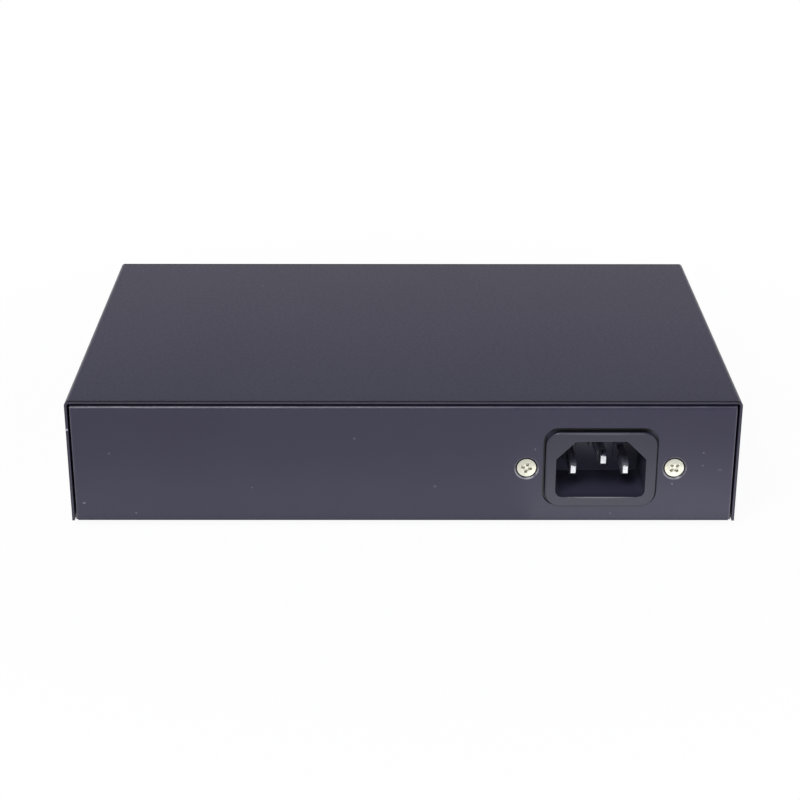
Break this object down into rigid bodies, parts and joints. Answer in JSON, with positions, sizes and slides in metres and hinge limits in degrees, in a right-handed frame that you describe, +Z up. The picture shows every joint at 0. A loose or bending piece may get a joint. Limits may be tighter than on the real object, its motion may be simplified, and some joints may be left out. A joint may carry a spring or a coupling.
{
  "type": "poe switch",
  "caption": "Slim desktop network switch with power over Ethernet: folded dark steel case, mains inlet in the rear, network sockets in the front.",
  "frame": {"origin": "centre of the underside, at the level that the feet stand on", "axes": "+X across the case, +Y from the front panel with the network sockets to the rear panel with the mains inlet, +Z up"},
  "size_m": [0.181, 0.116, 0.0373],
  "materials": {
    "case_paint": "satin powder coat",
    "inlet_plastic": "fine moulded",
    "bright_steel": "nickel plated",
    "pin_metal": "nickel plated",
    "foot_rubber": "matte",
    "laminate": "solder resist",
    "standoff_brass": "turned",
    "jack_plastic": "moulded",
    "jack_tin": "tinned",
    "contact_gold": "gold plated",
    "lamp_green": "clear tinted",
    "lamp_amber": "clear tinted",
    "chip_black": "moulded",
    "can_steel": "drawn",
    "sink_aluminium": "plain",
    "ferrite": "matte",
    "winding_tape": "taped",
    "winding_copper": "enamelled",
    "can_sleeve": "sleeved",
    "filter_plastic": "moulded",
    "socket_plastic": "moulded",
    "fuse_glass": "clear",
    "clip_metal": "tinned",
    "insulating_film": "film",
    "boot_red": "soft",
    "wire_brown": "extruded",
    "wire_blue": "extruded",
    "wire_green": "extruded",
    "wire_red": "extruded",
    "wire_black": "extruded"
  },
  "bodies": {
    "root": {"chassis_base": "case_paint", "top_cover": "case_paint", "inlet_housing": "inlet_plastic", "cover_screws": "bright_steel", "inlet_screws": "bright_steel", "inlet_nuts": "bright_steel", "board_screws": "bright_steel", "earth_stud": "bright_steel", "earth_nut": "bright_steel", "earth_lug": "bright_steel", "inlet_line_blade": "pin_metal", "inlet_neutral_blade": "pin_metal", "inlet_earth_blade": "pin_metal", "rubber_feet": "foot_rubber", "main_board": "laminate", "psu_board": "laminate", "board_standoffs": "standoff_brass", "lan_jack_left_housing": "jack_plastic", "lan_jack_right_housing": "jack_plastic", "uplink_jack_housing": "jack_plastic", "status_lamp_holder": "jack_plastic", "lan_jack_left_shield": "jack_tin", "lan_jack_right_shield": "jack_tin", "uplink_jack_shield": "jack_tin", "lan_jack_left_contacts": "contact_gold", "lan_jack_right_contacts": "contact_gold", "uplink_jack_contacts": "contact_gold", "port_lamps_green": "lamp_green", "status_lamps": "lamp_green", "port_lamps_amber": "lamp_amber", "switch_chip": "chip_black", "poe_controllers": "chip_black", "lan_transformers": "chip_black", "bridge_rectifier": "chip_black", "primary_transistor": "chip_black", "output_rectifier": "chip_black", "crystal": "can_steel", "switch_heatsink": "sink_aluminium", "primary_heatsink": "sink_aluminium", "output_heatsink": "sink_aluminium", "choke_core": "ferrite", "transformer_core": "ferrite", "power_inductor": "ferrite", "transformer_winding": "winding_tape", "choke_winding": "winding_copper", "bulk_capacitor": "can_sleeve", "output_capacitors": "can_sleeve", "board_capacitors": "can_sleeve", "filter_capacitor": "filter_plastic", "ac_socket": "socket_plastic", "dc_sockets": "socket_plastic", "line_fuse": "fuse_glass", "fuse_clips": "clip_metal", "insulating_sheet": "insulating_film", "blade_boots": "boot_red", "line_wire": "wire_brown", "neutral_wire": "wire_blue", "earth_wire": "wire_green", "dc_positive_wire": "wire_red", "dc_negative_wire": "wire_black"}
  },
  "joints": []
}
